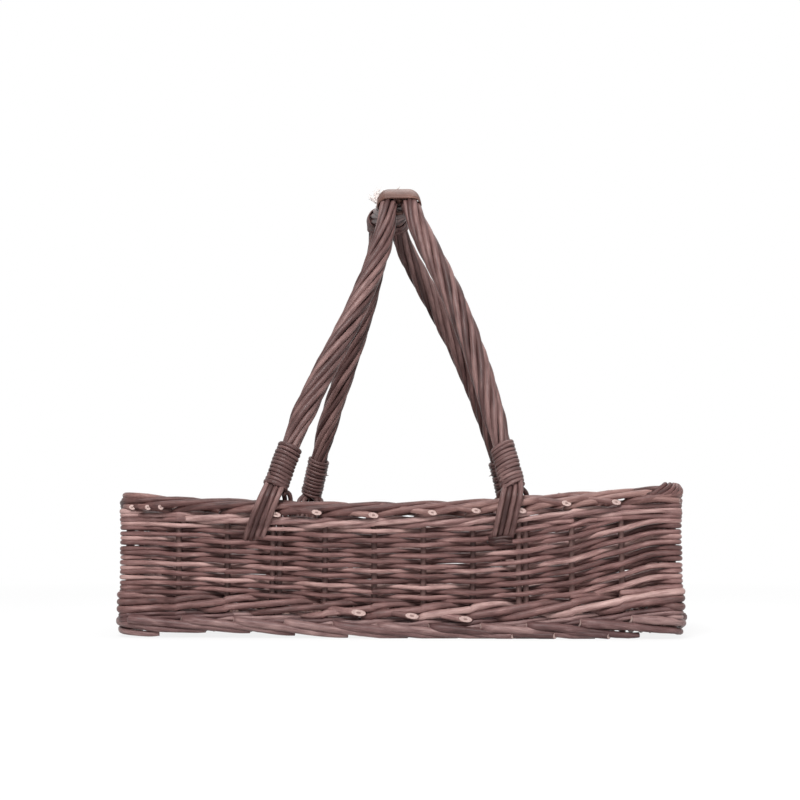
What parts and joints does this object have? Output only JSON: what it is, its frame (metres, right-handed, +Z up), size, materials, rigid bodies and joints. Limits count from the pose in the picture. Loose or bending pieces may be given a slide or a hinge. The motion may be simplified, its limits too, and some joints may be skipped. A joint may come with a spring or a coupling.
{
  "type": "trug basket",
  "caption": "Rectangular woven willow trug with a deep tray and two roped hoop handles bound together into one grip.",
  "frame": {"origin": "centre of the bounding box at the plane the foot rods stand on", "axes": "+X along the tray, -Y towards the front of the picture, +Z up"},
  "size_m": [0.554, 0.3406, 0.4585],
  "materials": {
    "stake": "dark stained willow, satin",
    "weaver": "stained willow weavers, satin",
    "wale": "stained willow rods with pale cut ends, satin",
    "rope": "stained willow bundle, satin",
    "binding": "thin willow winding, satin",
    "band": "smooth split willow band, satin",
    "base": "woven willow base, matt"
  },
  "bodies": {
    "root": {"base_weave": "base", "base_sticks": "stake", "corner_posts": "stake", "left_hoop": "rope", "right_hoop": "rope", "front_grip_band": "band", "back_grip_binding": "binding", "front_stakes": "stake", "front_weave": "weaver", "front_lower_wale": "wale", "front_upper_wale": "wale", "front_rim": "wale", "front_foot": "wale", "right_stakes": "stake", "right_weave": "weaver", "right_lower_wale": "wale", "right_upper_wale": "wale", "right_rim": "wale", "right_foot": "wale", "back_stakes": "stake", "back_weave": "weaver", "back_lower_wale": "wale", "back_upper_wale": "wale", "back_rim": "wale", "back_foot": "wale", "left_stakes": "stake", "left_weave": "weaver", "left_lower_wale": "wale", "left_upper_wale": "wale", "left_rim": "wale", "left_foot": "wale", "front_left_binding": "binding", "front_left_outer_rods": "rope", "front_left_inner_rods": "rope", "front_right_binding": "binding", "front_right_outer_rods": "rope", "front_right_inner_rods": "rope", "back_left_binding": "binding", "back_left_outer_rods": "rope", "back_left_inner_rods": "rope", "back_right_binding": "binding", "back_right_outer_rods": "rope", "back_right_inner_rods": "rope"}
  },
  "joints": []
}
